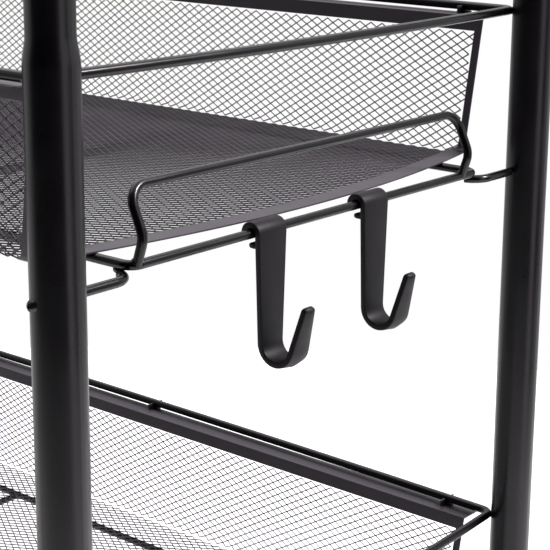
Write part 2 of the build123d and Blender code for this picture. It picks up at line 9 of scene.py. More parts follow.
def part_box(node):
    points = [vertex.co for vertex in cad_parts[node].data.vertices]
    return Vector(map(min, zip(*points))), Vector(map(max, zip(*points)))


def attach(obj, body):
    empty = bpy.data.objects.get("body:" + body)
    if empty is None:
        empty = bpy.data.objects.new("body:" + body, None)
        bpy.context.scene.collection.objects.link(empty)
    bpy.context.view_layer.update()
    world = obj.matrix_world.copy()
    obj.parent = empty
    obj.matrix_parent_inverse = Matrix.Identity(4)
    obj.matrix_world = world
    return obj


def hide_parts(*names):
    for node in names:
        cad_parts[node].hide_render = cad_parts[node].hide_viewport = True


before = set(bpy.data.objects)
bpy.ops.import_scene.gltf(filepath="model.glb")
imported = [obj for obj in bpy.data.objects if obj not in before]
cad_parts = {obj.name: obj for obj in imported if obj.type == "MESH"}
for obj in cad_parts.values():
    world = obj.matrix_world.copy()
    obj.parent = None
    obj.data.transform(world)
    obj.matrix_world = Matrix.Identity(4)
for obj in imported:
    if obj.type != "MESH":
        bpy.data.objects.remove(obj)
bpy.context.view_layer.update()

# ---- Posts and handles --------------------------------------------------------------------------
# Four 25.4 mm steel tubes, swaged down at the top for the two bent handle tubes that slip in.
# All of it is sprayed with black powder and baked to a satin skin with a faint orange peel.
MM = 0.001


def linear(code):
    """A colour written as an sRGB hex code, as linear RGBA."""
    channels = [int(code[i : i + 2], 16) / 255 for i in (1, 3, 5)]
    return (*[c / 12.92 if c <= 0.04045 else ((c + 0.055) / 1.055) ** 2.4 for c in channels], 1.0)


def add(tree, kind, sockets=None, **settings):
    """Adds a node with its settings; sockets holds its inputs, each a value or another node's output."""
    node = tree.nodes.new(kind)
    for name, value in settings.items():
        setattr(node, name, value)
    for name, source in (sockets or {}).items():
        if isinstance(source, bpy.types.NodeSocket):
            tree.links.new(source, node.inputs[name])
        else:
            node.inputs[name].default_value = source
    return node


def new_material(
    name, colour, roughness, specular=0.5, metallic=0.0, glow=0.0, peel=None, cloud=None, detail=2.0
):
    """A material whose pattern lies on the piece's own coordinates, in metres.

    peel holds the lump size and the height of an embossed grain. cloud is the lump size of a drift
    between the two values that roughness then holds.
    """
    material = bpy.data.materials.new(name)
    material.use_nodes = True
    tree = material.node_tree
    tree.nodes.clear()
    place = add(tree, "ShaderNodeTexCoord").outputs["Object"]
    sockets = {
        "Base Color": linear(colour),
        "Specular IOR Level": specular,
        "Metallic": metallic,
        "Emission Color": (1, 1, 1, 1),
        "Emission Strength": glow,
    }
    if peel:
        size, height = peel
        grain = add(tree, "ShaderNodeTexNoise", {"Vector": place, "Scale": 1 / size, "Detail": detail})
        raised = {"Height": grain.outputs["Fac"], "Distance": height, "Strength": 1.0}
        sockets["Normal"] = add(tree, "ShaderNodeBump", raised).outputs["Normal"]
    if cloud:
        drift = add(tree, "ShaderNodeTexNoise", {"Vector": place, "Scale": 1 / cloud, "Detail": detail})
        usual = {"From Min": 0.35, "From Max": 0.65}  # nearly all of the noise lies between these
        wanted = {"To Min": roughness[0], "To Max": roughness[1]}
        spread = add(tree, "ShaderNodeMapRange", {"Value": drift.outputs["Fac"], **usual, **wanted})
        roughness = spread.outputs["Result"]
    shader = add(tree, "ShaderNodeBsdfPrincipled", {**sockets, "Roughness": roughness})
    add(tree, "ShaderNodeOutputMaterial", {"Surface": shader.outputs["BSDF"]})
    return material


def dress(material, *names):
    """Gives CAD nodes a material."""
    for name in names:
        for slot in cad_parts[name].material_slots:
            slot.material = material


# Near black with a trace of violet, and orange peel about 1.5 mm across.
powder_coat = new_material(
    "powder coat, sprayed and baked",
    "#050206",
    (0.27, 0.33),
    specular=0.36,
    peel=(1.5 * MM, 0.012 * MM),
    cloud=40 * MM,
)
corners = ["right_front", "right_back", "left_front", "left_back"]
dress(powder_coat, *[f"post_{corner}" for corner in corners])
dress(powder_coat, "handle_hoop_right", "handle_hoop_left")


# ---- Rim wires, lower loops, cross wires, guard hoops and bracket rods ----------------------------
# Steel wire of 5 mm, bent on a jig and spot or arc welded, then coated with the frame's powder.
# The coat flows out smoother on wire, so its highlights are narrower than the tube's.
wire_coat = new_material(
    "powder coat on welded wire",
    "#060407",
    (0.21, 0.27),
    specular=0.3,
    peel=(1.2 * MM, 0.008 * MM),
    cloud=25 * MM,
)
shelves = ["bottom", "middle", "top"]
for shelf in shelves:
    dress(wire_coat, f"rim_wire_{shelf}", f"lower_loop_{shelf}", f"cross_wires_{shelf}")
    dress(wire_coat, f"guard_hoop_{shelf}_right", f"guard_hoop_{shelf}_left", f"bracket_rods_{shelf}")


# ---- Mesh trays -----------------------------------------------------------------------------------
# One sheet of expanded steel a shelf: slit and drawn out into rows of zigzag strands, with plain
# borders left along its edges, folded into a trough and turned out into a flange at the top.
post_x = (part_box("post_right_front")[0].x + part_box("post_right_front")[1].x) / 2
post_y = (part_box("post_right_back")[0].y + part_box("post_right_back")[1].y) / 2
diamond_long, diamond_short = 8.9 * MM, 5.4 * MM
wall_strand = 0.48 * MM  # radius of a strand
floor_strand = 0.46 * MM  # the floor is drawn a little further than the walls
sheet = 0.8 * MM
fold = 3.4 * MM  # to the middle of the sheet
wall_y = post_y - 14.9 * MM  # middle of the wall's sheet
floor_drop = 89.4 * MM  # rim wire's centre to the middle of the floor's sheet
flange_drop = 4.8 * MM
band_drop = 13.5 * MM  # lower edge of the plain band under the flange
flange_y = post_y + 0.6 * MM
# half the sheet's length: at mid-width, at the walls' foot and at the walls' top
end_mid, end_low, end_high = post_x - 14.5 * MM, post_x - 36 * MM, post_x - 26 * MM
end_band = 13 * MM
wall_band = 5 * MM  # the plain band at a wall's end is narrower than the floor's
strand_stop = 0.6  # strands stop this share of a band's width short of the sheet's end
flat_half = wall_y - fold
arc_length = fold * math.pi / 2
wall_rise = floor_drop - fold - flange_drop
rim_height = {}
for shelf in shelves:
    low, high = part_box(f"rim_wire_{shelf}")
    rim_height[shelf] = (low.z + high.z) / 2


def new_tree(name, **inputs):
    """An empty geometry tree that takes a mesh, a material and named inputs, listed by kind."""
    tree = bpy.data.node_groups.new(name, "GeometryNodeTree")
    tree.interface.new_socket("Geometry", in_out="OUTPUT", socket_type="NodeSocketGeometry")
    kinds = {"Geometry": ["Geometry"], **inputs, "Material": ["Material"]}
    for kind, names in kinds.items():
        for item in names:
            tree.interface.new_socket(item, in_out="INPUT", socket_type=f"NodeSocket{kind}")
    return tree, add(tree, "NodeGroupInput").outputs


def end_tree(tree, geometry, material):
    """Ends a tree: real geometry with the given material."""
    whole = add(tree, "GeometryNodeRealizeInstances", {"Geometry": geometry})
    coated = add(tree, "GeometryNodeSetMaterial", {"Geometry": whole.outputs[0], "Material": material})
    add(tree, "NodeGroupOutput", {"Geometry": coated.outputs[0]})
    return tree


def expanded_metal():
    """Rows of zigzag strands over the folded sheet, from one reach of the sheet to another."""
    lengths = ["Long Way", "Short Way", "Strand", "From", "To", "Base"]
    tree, given = new_tree("expanded metal", Float=lengths, Int=["Columns", "Rows"])
    values = {name: given[name] for name in (*lengths, "Columns", "Rows")}
    lines = {}
    for name, count in (("row", "Rows"), ("column", "Columns")):
        line = add(tree, "GeometryNodeMeshLine", {"Count": given[count], "Offset": (0, 0, 0)})
        index = add(tree, "GeometryNodeInputIndex")
        lines[name] = add(
            tree,
            "GeometryNodeStoreNamedAttribute",
            {"Geometry": line.outputs[0], "Name": name, "Value": index.outputs[0]},
            data_type="INT",
            domain="POINT",
        ).outputs[0]
        number = add(tree, "GeometryNodeInputNamedAttribute", {"Name": name}, data_type="INT")
        values[name] = number.outputs[0]
    laid = add(tree, "GeometryNodeInstanceOnPoints", {"Points": lines["row"], "Instance": lines["column"]})
    loose = add(tree, "GeometryNodeRealizeInstances", {"Geometry": laid.outputs[0]}).outputs[0]

    # each step is a name, an operation, and the numbers or earlier names that it works on
    steps = (
        # neighbours along a strand swing to opposite sides of its line
        ("pair", "ADD", "row", "column"),
        ("odd", "FLOORED_MODULO", "pair", 2.0),
        ("side", "SUBTRACT", "odd", 0.5),
        ("half short way", "MULTIPLY", "Short Way", 0.5),
        ("swing", "MULTIPLY", "side", "half short way"),
        # reach across the flat sheet from its centre line
        ("last row", "SUBTRACT", "Rows", 1.0),
        ("middle row", "MULTIPLY", "last row", 0.5),
        ("rows out", "SUBTRACT", "row", "middle row"),
        ("strand line", "MULTIPLY", "rows out", "half short way"),
        ("signed reach", "ADD", "strand line", "swing"),
        ("reach", "ABSOLUTE", "signed reach"),
        # the fold: angle turned, then distance across and height
        ("past flat", "SUBTRACT", "reach", flat_half),
        ("free turn", "DIVIDE", "past flat", fold),
        ("turn from flat", "MAXIMUM", "free turn", 0.0),
        ("turn", "MINIMUM", "turn from flat", math.pi / 2),
        ("flat part", "MINIMUM", "reach", flat_half),
        ("sine", "SINE", "turn"),
        ("folded part", "MULTIPLY", "sine", fold),
        ("across", "ADD", "flat part", "folded part"),
        ("cosine", "COSINE", "turn"),
        ("left to turn", "SUBTRACT", 1.0, "cosine"),
        ("fold's rise", "MULTIPLY", "left to turn", fold),
        ("past fold", "SUBTRACT", "reach", flat_half + arc_length),
        ("wall's rise", "MAXIMUM", "past fold", 0.0),
        ("rise", "ADD", "fold's rise", "wall's rise"),
        # the point's place
        ("last column", "SUBTRACT", "Columns", 1.0),
        ("half length", "MULTIPLY", "last column", 0.25),
        ("length", "MULTIPLY", "column", 0.5),
        ("columns out", "SUBTRACT", "length", "half length"),
        ("x", "MULTIPLY", "columns out", "Long Way"),
        ("hand", "SIGN", "signed reach"),
        ("y", "MULTIPLY", "hand", "across"),
        ("z", "ADD", "rise", "Base"),
        # the sheet's end: a bow across the floor, a slant up the walls
        ("width share", "DIVIDE", "across", wall_y),
        ("share squared", "POWER", "width share", 2.0),
        ("crown", "SUBTRACT", 1.0, "share squared"),
        ("bow", "MULTIPLY", "crown", end_mid - end_low),
        ("floor's end", "ADD", end_low, "bow"),
        ("above fold", "SUBTRACT", "rise", fold),
        ("up the wall", "MAXIMUM", "above fold", 0.0),
        ("wall share", "DIVIDE", "up the wall", wall_rise),
        ("slant", "MULTIPLY", "wall share", end_high - end_low),
        ("end", "ADD", "floor's end", "slant"),
        ("narrowing", "MULTIPLY", "turn", (end_band - wall_band) / (math.pi / 2)),
        ("band", "SUBTRACT", end_band, "narrowing"),
        ("bare", "MULTIPLY", "band", strand_stop),
        ("last x", "SUBTRACT", "end", "bare"),
        # what lies past the end or outside the wanted reaches
        ("distance", "ABSOLUTE", "x"),
        ("past end", "GREATER_THAN", "distance", "last x"),
        ("too near", "LESS_THAN", "reach", "From"),
        ("too far", "GREATER_THAN", "reach", "To"),
        ("off reach", "ADD", "too near", "too far"),
        ("faults", "ADD", "past end", "off reach"),
        ("unwanted", "GREATER_THAN", "faults", 0.5),
    )
    for name, operation, *terms in steps:
        sockets = {i: values.get(term, term) for i, term in enumerate(terms)}
        values[name] = add(tree, "ShaderNodeMath", sockets, operation=operation).outputs[0]
    place = add(tree, "ShaderNodeCombineXYZ", {"X": values["x"], "Y": values["y"], "Z": values["z"]})
    placed = add(tree, "GeometryNodeSetPosition", {"Geometry": loose, "Position": place.outputs[0]})
    kept = add(
        tree,
        "GeometryNodeDeleteGeometry",
        {"Geometry": placed.outputs[0], "Selection": values["unwanted"]},
        domain="POINT",
    )
    curves = add(tree, "GeometryNodeMeshToCurve", {"Mesh": kept.outputs[0]})
    profile = add(tree, "GeometryNodeCurvePrimitiveCircle", {"Resolution": 4, "Radius": given["Strand"]})
    strands = add(
        tree,
        "GeometryNodeCurveToMesh",
        {"Curve": curves.outputs[0], "Profile Curve": profile.outputs[0], "Fill Caps": True},
    )
    return end_tree(tree, strands.outputs[0], given["Material"])


def piece_from(name, mesh):
    """A new object that holds a mesh, in the scene."""
    piece = bpy.data.objects.new(name, mesh)
    bpy.context.scene.collection.objects.link(piece)
    return piece


def settle(piece):
    """Replaces an object's live modifiers with the mesh that they make."""
    bpy.context.view_layer.update()
    shown = piece.evaluated_get(bpy.context.evaluated_depsgraph_get())
    mesh = bpy.data.meshes.new_from_object(shown)
    piece.modifiers.clear()
    piece.data = mesh
    mesh.name = piece.name
    return piece


def grow(name, tree, values, mesh=None):
    """Runs a geometry tree on a mesh with named values, and keeps the plain mesh it makes."""
    piece = piece_from(name, mesh or bpy.data.meshes.new(name))
    modifier = piece.modifiers.new("tree", "NODES")
    modifier.node_group = tree
    for item in tree.interface.items_tree:
        if item.in_out == "INPUT" and item.name in values:
            modifier[item.identifier] = values[item.name]
    return settle(piece)


def folded(x, reach, rim_z):
    """Place on the middle of the folded sheet: x along it, reach from its centre line across it."""
    a, side = abs(reach), math.copysign(1, reach)
    turn = min(max((a - flat_half) / fold, 0), math.pi / 2)
    y = min(a, flat_half) + fold * math.sin(turn)
    rise = fold * (1 - math.cos(turn))
    wall = max(a - flat_half - arc_length, 0)
    y += max(wall - wall_rise, 0)
    return Vector((x, side * y, rim_z - floor_drop + rise + min(wall, wall_rise)))


def sheet_end(reach):
    """Half the sheet's length at a reach across it."""
    place = folded(0, reach, 0)
    crown = max(1 - (place.y / wall_y) ** 2, 0)
    slant = max(place.z + floor_drop - fold, 0) / wall_rise
    return end_low + crown * (end_mid - end_low) + min(slant, 1) * (end_high - end_low)


def tray_border(name, rim_z):
    """The plain edges of the sheet: flanges, bands under them, and a band round both ends."""
    wall_foot = flat_half + arc_length
    wall_top = wall_foot + wall_rise
    band_low = wall_top - (band_drop - flange_drop)
    edge = wall_top + flange_y - wall_y
    floor_steps, fold_steps, wall_steps, lengthwise_steps = 14, 4, 6, 16
    half = [i * flat_half / floor_steps for i in range(floor_steps + 1)]
    half += [flat_half + i * arc_length / fold_steps for i in range(1, fold_steps + 1)]
    half += [wall_foot + i * (band_low - wall_foot) / wall_steps for i in range(1, wall_steps + 1)]
    half += [wall_top - sheet, wall_top, wall_top + sheet, edge]
    reaches = [-r for r in reversed(half[1:])] + half
    inner = [-1 + 2 * i / lengthwise_steps for i in range(lengthwise_steps + 1)]
    points, faces = [], []
    for reach in reaches:
        end = sheet_end(reach)
        narrowing = min(max((abs(reach) - flat_half) / arc_length, 0), 1)
        band = end - end_band + (end_band - wall_band) * narrowing
        for x in [-end] + [f * band for f in inner] + [end]:
            points.append(folded(x, reach, rim_z))
    wide = len(inner) + 2
    hair = 1e-9
    for r in range(len(reaches) - 1):
        solid_row = min(abs(reaches[r]), abs(reaches[r + 1])) >= band_low - hair
        for c in range(wide - 1):
            if solid_row or c in (0, wide - 2):
                at = r * wide + c
                faces.append((at, at + 1, at + wide + 1, at + wide))
    used = sorted({i for face in faces for i in face})
    renumber = {old: new for new, old in enumerate(used)}
    mesh = bpy.data.meshes.new(name)
    mesh.from_pydata([points[i] for i in used], [], [[renumber[i] for i in face] for face in faces])
    piece = piece_from(name, mesh)
    thick = piece.modifiers.new("sheet", "SOLIDIFY")
    thick.thickness, thick.offset = sheet, 0
    settle(piece)
    for polygon in piece.data.polygons:
        polygon.use_smooth = True
    piece.data.set_sharp_from_angle(angle=math.radians(40))
    return piece


# The colour is lifted well above the frame's near black to a violet grey: painted sheen, for the light that
# the thin strands and the sheet catch from above. The coat also looks drier here, so it is rougher.
sheen_painted_mesh_coat = new_material(
    "powder coat on expanded steel, lightened as painted sheen",
    "#332d35",
    (0.42, 0.52),
    peel=(0.8 * MM, 0.008 * MM),
    cloud=30 * MM,
)
metal_tree = expanded_metal()
wall_edge = flat_half + arc_length + wall_rise - (band_drop - flange_drop)
under_band = 2 * MM  # how far the walls' strands run up behind the band
whole_floor = -1.0  # below any reach
meshed = (
    ("floor", whole_floor, flat_half, floor_strand),
    ("walls", flat_half, wall_edge + under_band, wall_strand),
)
for shelf in shelves:
    border = tray_border(f"tray_border_{shelf}", rim_height[shelf])
    border.data.materials.append(sheen_painted_mesh_coat)
    parts = [border]
    for name, start, stop, radius in meshed:
        values = {
            "Long Way": diamond_long,
            "Short Way": diamond_short,
            "Strand": radius,
            "From": start,
            "To": stop,
            "Base": rim_height[shelf] - floor_drop,
            "Columns": 2 * int(2 * end_mid / diamond_long) + 1,
            "Rows": 2 * int(2 * wall_edge / diamond_short) + 1,
            "Material": sheen_painted_mesh_coat,
        }
        parts.append(grow(f"tray_mesh_{name}_{shelf}", metal_tree, values))
    for part in parts:
        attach(part, "frame")
        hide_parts(f"mesh_tray_{shelf}")


# ---- Tabs on the tray rims ------------------------------------------------------------------------
# Three tongues a side are pressed up out of the flange into a cradle under the rim wire, and
# welded to it, which holds the tray to its frame and leaves a slot of light between them.
def rim_tabs():
    """A tongue with a cradle, under each point of the given mesh."""
    tree, given = new_tree("rim tabs", Float=["Roll", "Width", "Thickness"])
    past_half = 0.1  # radians that the cradle turns beyond a half circle at each end
    cradle = {"Start Angle": math.pi - past_half, "Sweep Angle": math.pi + 2 * past_half}
    roll = add(tree, "GeometryNodeCurveArc", {"Resolution": 12, "Radius": given["Roll"], **cradle})
    upright = (math.pi / 2, 0, math.pi / 2)
    stood = add(tree, "GeometryNodeTransform", {"Geometry": roll.outputs[0], "Rotation": upright})
    section = add(
        tree,
        "GeometryNodeCurvePrimitiveQuadrilateral",
        {"Width": given["Thickness"], "Height": given["Width"]},
    )
    tongue = add(
        tree,
        "GeometryNodeCurveToMesh",
        {"Curve": stood.outputs[0], "Profile Curve": section.outputs[0], "Fill Caps": True},
    )
    foot_drop = -1.25  # in rolls
    low = add(tree, "ShaderNodeMath", {0: given["Roll"], 1: foot_drop}, operation="MULTIPLY")
    under = add(tree, "ShaderNodeCombineXYZ", {"Z": low.outputs[0]})
    sides = {"X": given["Width"], "Y": given["Roll"], "Z": given["Thickness"]}
    size = add(tree, "ShaderNodeCombineXYZ", sides)
    block = add(tree, "GeometryNodeMeshCube", {"Size": size.outputs[0]})
    foot = add(
        tree,
        "GeometryNodeTransform",
        {"Geometry": block.outputs[0], "Translation": under.outputs[0], "Scale": (1, 1, 2)},
    )
    both = add(tree, "GeometryNodeJoinGeometry")
    tree.links.new(tongue.outputs[0], both.inputs[0])
    tree.links.new(foot.outputs[0], both.inputs[0])
    copies = {"Points": given["Geometry"], "Instance": both.outputs[0]}
    laid = add(tree, "GeometryNodeInstanceOnPoints", copies)
    return end_tree(tree, laid.outputs[0], given["Material"])


def spots(name, places):
    """A mesh of loose points."""
    mesh = bpy.data.meshes.new(name)
    mesh.from_pydata(places, [], [])
    return mesh


tab_x = post_x - 48 * MM
tab_y_mid, tab_y_end = post_y - 0.5 * MM, post_y - 3.2 * MM  # the rim wire bows out
tab_tree = rim_tabs()
# The tabs share the tray's coat, with its painted sheen.
tab_size = {"Roll": 3.15 * MM, "Width": 9 * MM, "Thickness": sheet, "Material": sheen_painted_mesh_coat}
for shelf in shelves:
    places = []
    for side in (-1, 1):
        for x, y in ((-tab_x, tab_y_end), (0, tab_y_mid), (tab_x, tab_y_end)):
            places.append((x, side * y, rim_height[shelf]))
    tabs = grow(f"rim_tabs_{shelf}", tab_tree, tab_size, spots(f"rim_tabs_{shelf}", places))
    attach(tabs, "frame")
    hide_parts(f"mesh_tray_{shelf}")


# ---- Weld beads -----------------------------------------------------------------------------------
# The rims are arc welded to the posts, and the guard hoops, cross wires and bracket rods to the
# lower loops. Each weld is left as a small lump, rounded off by the coat.
def weld_beads():
    """A lumpy bead, flattened a little, at each point of the given mesh."""
    tree, given = new_tree("weld beads", Float=["Radius", "Lump", "Lumps a Metre"], Vector=["Squash"])
    ball = add(tree, "GeometryNodeMeshIcoSphere", {"Radius": given["Radius"], "Subdivisions": 3})
    laid = add(
        tree,
        "GeometryNodeInstanceOnPoints",
        {"Points": given["Geometry"], "Instance": ball.outputs[0], "Scale": given["Squash"]},
    )
    loose = add(tree, "GeometryNodeRealizeInstances", {"Geometry": laid.outputs[0]})
    noise = {"Scale": given["Lumps a Metre"], "Detail": 1.0}
    lumps = add(tree, "ShaderNodeTexNoise", noise, noise_dimensions="3D")
    centred = add(tree, "ShaderNodeMath", {0: lumps.outputs[0], 1: 0.5}, operation="SUBTRACT")
    height = add(tree, "ShaderNodeMath", {0: centred.outputs[0], 1: given["Lump"]}, operation="MULTIPLY")
    out = add(tree, "GeometryNodeInputNormal").outputs[0]
    push = add(tree, "ShaderNodeVectorMath", {0: out, "Scale": height.outputs[0]}, operation="SCALE")
    moved = {"Geometry": loose.outputs[0], "Offset": push.outputs[0]}
    lumpy = add(tree, "GeometryNodeSetPosition", moved)
    smooth = add(tree, "GeometryNodeSetShadeSmooth", {"Geometry": lumpy.outputs[0]})
    return end_tree(tree, smooth.outputs[0], given["Material"])


loop_x, loop_y = post_x - 4.8 * MM, post_y - 50.3 * MM
loop_drop = 92.3 * MM
hoop_inset = 9 * MM
hoop_offset = 5.5 * MM  # the guard hoops stand this much towards the front
bead_tree = weld_beads()
bead_size = {
    "Radius": 2.8 * MM,
    "Lump": 0.8 * MM,
    "Lumps a Metre": 260.0,
    "Squash": (1.0, 1.0, 0.85),
    "Material": wire_coat,
}
for shelf in shelves:
    rim_z, loop_z = rim_height[shelf], rim_height[shelf] - loop_drop
    places = []
    for end in (-1, 1):
        for side in (-1, 1):
            hoop_foot = side * (loop_y - hoop_inset) - hoop_offset
            rim_to_post = (end * (post_x - 12 * MM), side * (post_y - 7 * MM), rim_z)
            rod_to_loop = (end * (loop_x - 9.5 * MM), side * (loop_y - 1 * MM), loop_z - 3 * MM)
            hoop_to_loop = (end * loop_x, hoop_foot, loop_z + 1.6 * MM)
            cross_wire_to_loop = (end * post_x / 3, side * (loop_y - 2 * MM), loop_z)
            rod_to_post = (end * (post_x - 3 * MM), side * (post_y - 13 * MM), loop_z - 5 * MM)
            places += [rim_to_post, rod_to_loop, hoop_to_loop, cross_wire_to_loop, rod_to_post]
    beads = grow(f"weld_beads_{shelf}", bead_tree, bead_size, spots(f"weld_beads_{shelf}", places))
    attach(beads, "frame")


# ---- Screws ---------------------------------------------------------------------------------------
# Domed cross-head screws: twelve through the posts into the bracket rods' tapped ends, blacked to
# match the frame, and four bright self-tapping ones that hold the handles in the posts' necks.
def cross_head_screws():
    """A domed head with a cross recess at each point, turned along the attribute named facing."""
    tree, given = new_tree("cross-head screws", Float=["Ball", "Rise", "Recess", "Blade"])
    rings = {"Segments": 40, "Rings": 24}
    ball = add(tree, "GeometryNodeMeshUVSphere", {**rings, "Radius": given["Ball"]})
    sunk = add(tree, "ShaderNodeMath", {0: given["Rise"], 1: given["Ball"]}, operation="SUBTRACT")
    lift = add(tree, "ShaderNodeCombineXYZ", {"Z": sunk.outputs[0]})
    head = add(tree, "GeometryNodeTransform", {"Geometry": ball.outputs[0], "Translation": lift.outputs[0]})
    deep = add(tree, "ShaderNodeCombineXYZ", {"Z": given["Rise"]})
    sides = {"X": given["Recess"], "Y": given["Blade"], "Z": given["Recess"]}
    wing = add(tree, "ShaderNodeCombineXYZ", sides)
    blade = add(tree, "GeometryNodeMeshCube", {"Size": wing.outputs[0]})
    cut = add(tree, "GeometryNodeMeshBoolean", {"Mesh 1": head.outputs[0]}, operation="DIFFERENCE")
    for turn in (0, math.pi / 2):
        placed = {"Geometry": blade.outputs[0], "Translation": deep.outputs[0], "Rotation": (0, 0, turn)}
        slit = add(tree, "GeometryNodeTransform", placed)
        tree.links.new(slit.outputs[0], cut.inputs["Mesh 2"])
    facing = add(tree, "GeometryNodeInputNamedAttribute", {"Name": "facing"}, data_type="FLOAT_VECTOR")
    turned = add(tree, "FunctionNodeAlignRotationToVector", {"Vector": facing.outputs[0]}, axis="Z")
    laid = add(
        tree,
        "GeometryNodeInstanceOnPoints",
        {"Points": given["Geometry"], "Instance": cut.outputs[0], "Rotation": turned.outputs[0]},
    )
    return end_tree(tree, laid.outputs[0], given["Material"])


def facing_spots(name, places):
    """A mesh of loose points that each carry the direction a head faces."""
    mesh = spots(name, [place for place, _ in places])
    facing = mesh.attributes.new("facing", "FLOAT_VECTOR", "POINT")
    for item, (_, way) in zip(facing.data, places):
        item.vector = way
    return mesh


# Zinc plate is pale, with a faint cloudy bloom.
zinc_plate = new_material(
    "zinc plate on turned steel", "#b9bbc0", (0.26, 0.42), metallic=1.0, cloud=6 * MM
)
# Black oxide is darker and oilier than the powder coat.
black_oxide = new_material(
    "black oxide on turned steel", "#141316", (0.28, 0.42), specular=0.6, cloud=4 * MM
)
screw_tree = cross_head_screws()
head_size = {"Ball": 3.47 * MM, "Rise": 2.4 * MM, "Recess": 3.4 * MM, "Blade": 0.8 * MM}
bracket_x, bracket_y = post_x - 3 * MM, post_y + 12.34 * MM  # on the post's outer face
bracket_drop = 97.3 * MM
neck_x, neck_z = post_x - 11.1 * MM, rim_height["top"] + 31 * MM
bracket_places, handle_places = [], []
for end in (-1, 1):
    for side in (-1, 1):
        for shelf in shelves:
            spot = (end * bracket_x, side * bracket_y, rim_height[shelf] - bracket_drop)
            bracket_places.append((spot, (0, side, 0)))
        handle_places.append(((end * neck_x, side * post_y, neck_z), (-end, 0, 0)))
for name, places, finish, slot in (
    ("bracket_screws", bracket_places, black_oxide, "black_powder_coat"),
    ("handle_screws", handle_places, zinc_plate, "zinc_steel"),
):
    heads = facing_spots(f"{name}_heads", places)
    screws = grow(f"{name}_heads", screw_tree, {**head_size, "Material": finish}, heads)
    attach(screws, "frame")
    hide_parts(name)


# ---- Hooks ----------------------------------------------------------------------------------------
# Two hooks moulded in black nylon. A curl snaps over the end rail, with a nib under it. The strap
# tapers to a bend, and the prong has a ridge down its outer face and a rounded end.
hook_thick = 3.4 * MM
hook_curl = 4.55 * MM  # middle of the strap's thickness round the rail
hook_drop, hook_bend = 58 * MM, 9.5 * MM
hook_lean = math.radians(15)
hook_prong = 24 * MM
hook_bottom = -hook_drop - hook_bend - hook_thick / 2
hook_width, strap_spread = 16 * MM, 6 * MM  # at the bottom, and how much wider at the top
prong_taper = 9.5 / 38  # width lost by height
ridge_height = 1.1 * MM
tip_length = 2.4 * MM
hook_y = {"front": -49 * MM, "back": 38 * MM}


def hook_line():
    """Stations down a hook: out from the rail, up from it, heading, width, half thickness, ridge."""
    stations = []

    def strap_width(v):
        return hook_width + strap_spread * (v - hook_bottom) / (hook_curl - hook_bottom)

    def prong_width(v):
        return hook_width - prong_taper * (v - hook_bottom)

    half = hook_thick / 2
    curl_turn, curl_steps, strap_steps, bend_steps, prong_steps, tip_steps = 205, 17, 7, 14, 8, 6
    for step in range(curl_steps + 1):
        angle = math.radians(curl_turn - curl_turn * step / curl_steps)
        u, v = hook_curl * math.cos(angle), hook_curl * math.sin(angle)
        stations.append((u, v, angle - math.pi / 2, strap_width(v), half, 0))
    for step in range(1, strap_steps + 1):
        v = -hook_drop * step / strap_steps
        stations.append((hook_curl, v, -math.pi / 2, strap_width(v), half, 0))
    centre_u, centre_v = hook_curl + hook_bend, -hook_drop
    blend_start, blend_run = 0.35, 0.35  # where in the bend the strap turns into the prong
    for step in range(1, bend_steps + 1):
        share = step / bend_steps
        angle = math.pi + (math.pi - hook_lean) * share
        u, v = centre_u + hook_bend * math.cos(angle), centre_v + hook_bend * math.sin(angle)
        blend = min(max((share - blend_start) / blend_run, 0), 1)
        width = strap_width(v) * (1 - blend) + prong_width(v) * blend
        stations.append((u, v, angle + math.pi / 2, width, half, ridge_height * blend))
    start_u, start_v = stations[-1][0], stations[-1][1]
    heading = math.pi / 2 - hook_lean
    for step in range(1, prong_steps + 1):
        run = hook_prong * step / prong_steps
        u, v = start_u + run * math.cos(heading), start_v + run * math.sin(heading)
        stations.append((u, v, heading, prong_width(v), half, ridge_height))
    tip_u, tip_v, _, tip_width, _, _ = stations[-1]
    flat_share, short_of_point = 0.35, 0.3  # the tip ends flat, a little before it closes
    for step in range(1, tip_steps + 1):
        turn = math.pi / 2 * step / (tip_steps + short_of_point)
        run = tip_length * math.sin(turn)
        u, v = tip_u + run * math.cos(heading), tip_v + run * math.sin(heading)
        shrink = math.cos(turn)
        width = tip_width * (flat_share + (1 - flat_share) * shrink)
        stations.append((u, v, heading, width, half * shrink, ridge_height * shrink))
    return stations


def rounded_section(width, half, ridge, edge=0.7 * MM):
    """Outline of a flat bar with rounded edges, and a ridge along its outer face."""
    edge = min(edge, half * 0.9)
    corner_steps = 3
    outline = []
    for across, thick, first in ((1, 1, 0), (-1, 1, 1), (-1, -1, 2), (1, -1, 3)):
        for step in range(corner_steps + 1):
            angle = math.pi / 2 * (first + step / corner_steps)
            x = across * (width / 2 - edge) + edge * math.cos(angle)
            y = thick * (half - edge) + edge * math.sin(angle)
            outline.append((x, y))
        if first == 0:
            outline.append((0, half))
        if first == 2:
            outline.append((0, -half - ridge))
    return outline


def loft(name, stations, place):
    """A closed skin over the stations' sections."""
    points, faces = [], []
    for u, v, heading, width, half, ridge in stations:
        normal = (-math.sin(heading), math.cos(heading))
        for across, thick in rounded_section(width, half, ridge):
            points.append(place + Vector((u + thick * normal[0], across, v + thick * normal[1])))
    count = len(rounded_section(1, 1, 0))
    for ring in range(len(stations) - 1):
        for i in range(count):
            a, b = ring * count + i, ring * count + (i + 1) % count
            faces.append((a, b, b + count, a + count))
    faces.append(tuple(reversed(range(count))))
    faces.append(tuple(range(len(points) - count, len(points))))
    mesh = bpy.data.meshes.new(name)
    mesh.from_pydata(points, [], faces)
    shape = bmesh.new()
    shape.from_mesh(mesh)
    bmesh.ops.recalc_face_normals(shape, faces=shape.faces)
    shape.to_mesh(mesh)
    shape.free()
    for polygon in mesh.polygons:
        polygon.use_smooth = True
    mesh.set_sharp_from_angle(angle=math.radians(50))
    return piece_from(name, mesh)


